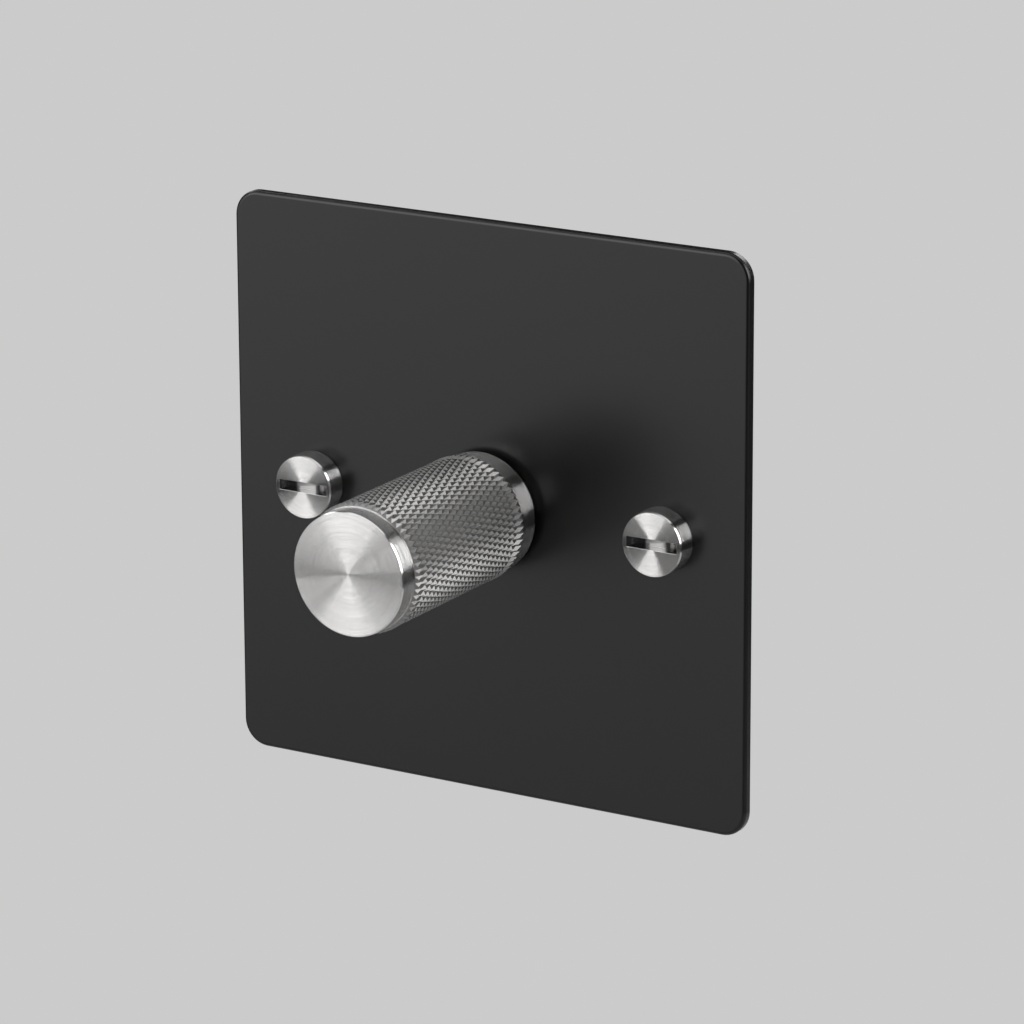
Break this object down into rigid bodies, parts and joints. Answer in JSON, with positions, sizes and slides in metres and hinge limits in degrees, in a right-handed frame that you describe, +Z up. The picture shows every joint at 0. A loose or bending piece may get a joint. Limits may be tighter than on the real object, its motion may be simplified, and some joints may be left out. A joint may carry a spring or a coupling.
{
  "type": "dimmer switch",
  "caption": "Flat plate rotary dimmer switch: long knurled metal knob, push for on and off, wall module behind",
  "frame": {"origin": "centre of the front plate's back face, on the knob's axis, midway between the box screws", "axes": "+Z up, +X to the right as seen from the front, +Y into the wall; the knob points along -Y"},
  "size_m": [0.088, 0.0679, 0.088],
  "materials": {
    "black_plate": "satin black coat",
    "turned_steel": "turned, spun faces",
    "plated_steel": "zinc plated",
    "nickel_brass": "nickel plated",
    "bare_brass": "plain",
    "heat_aluminium": "mill finish",
    "housing_plastic": "moulded",
    "white_plastic": "moulded",
    "board_laminate": "coated laminate",
    "pad_grey": "soft pad",
    "black_resin": "moulded resin",
    "ferrite": "sintered",
    "copper_wire": "enamelled copper",
    "capacitor_box": "moulded box",
    "fuse_ceramic": "plain"
  },
  "bodies": {
    "root": {"bush": "nickel_brass", "bush_nut": "nickel_brass", "bush_washer": "plated_steel", "circuit_board": "board_laminate", "coin_screw_left": "turned_steel", "coin_screw_right": "turned_steel", "control_chip": "black_resin", "earth_screw": "plated_steel", "earth_terminal": "bare_brass", "film_capacitor": "capacitor_box", "fixed_contacts": "bare_brass", "front_plate": "black_plate", "fuse": "fuse_ceramic", "heat_plate": "heat_aluminium", "housing": "housing_plastic", "housing_screws": "plated_steel", "inductor_core": "ferrite", "inductor_winding": "copper_wire", "pot_case": "housing_plastic", "pot_pins": "bare_brass", "pot_wafer": "board_laminate", "power_transistors": "black_resin", "resistors": "fuse_ceramic", "return_spring": "plated_steel", "smoothing_capacitor": "heat_aluminium", "switch_case": "housing_plastic", "terminal_left": "bare_brass", "terminal_middle": "bare_brass", "terminal_right": "bare_brass", "terminal_screws": "plated_steel", "transistor_pads": "pad_grey"},
    "rotor": {"pot_rotor": "white_plastic", "pot_wiper": "bare_brass"},
    "knob": {"knob": "turned_steel", "knob_insert": "white_plastic", "shaft": "nickel_brass", "shaft_clip": "plated_steel"},
    "plunger": {"plunger": "white_plastic", "contact_bridge": "bare_brass"}
  },
  "joints": [
    {"name": "dim_turn", "type": "hinge", "parent": "root", "child": "rotor", "pos_m": [0, 0.004, 0], "axis": [0, 1, 0], "range_deg": [-135, 135]},
    {"name": "knob_push", "type": "slide", "parent": "rotor", "child": "knob", "axis": [0, 1, 0], "range_m": [0, 0.0009], "stiffness_N_per_m": 1200, "springref_m": -0.0025},
    {"name": "plunger_slide", "type": "slide", "parent": "root", "child": "plunger", "axis": [0, 1, 0], "range_m": [0, 0.0009], "deforming": ["return_spring"]}
  ],
  "couplings": [
    {"joint": "plunger_slide", "follows": "knob_push", "ratio": 1}
  ]
}
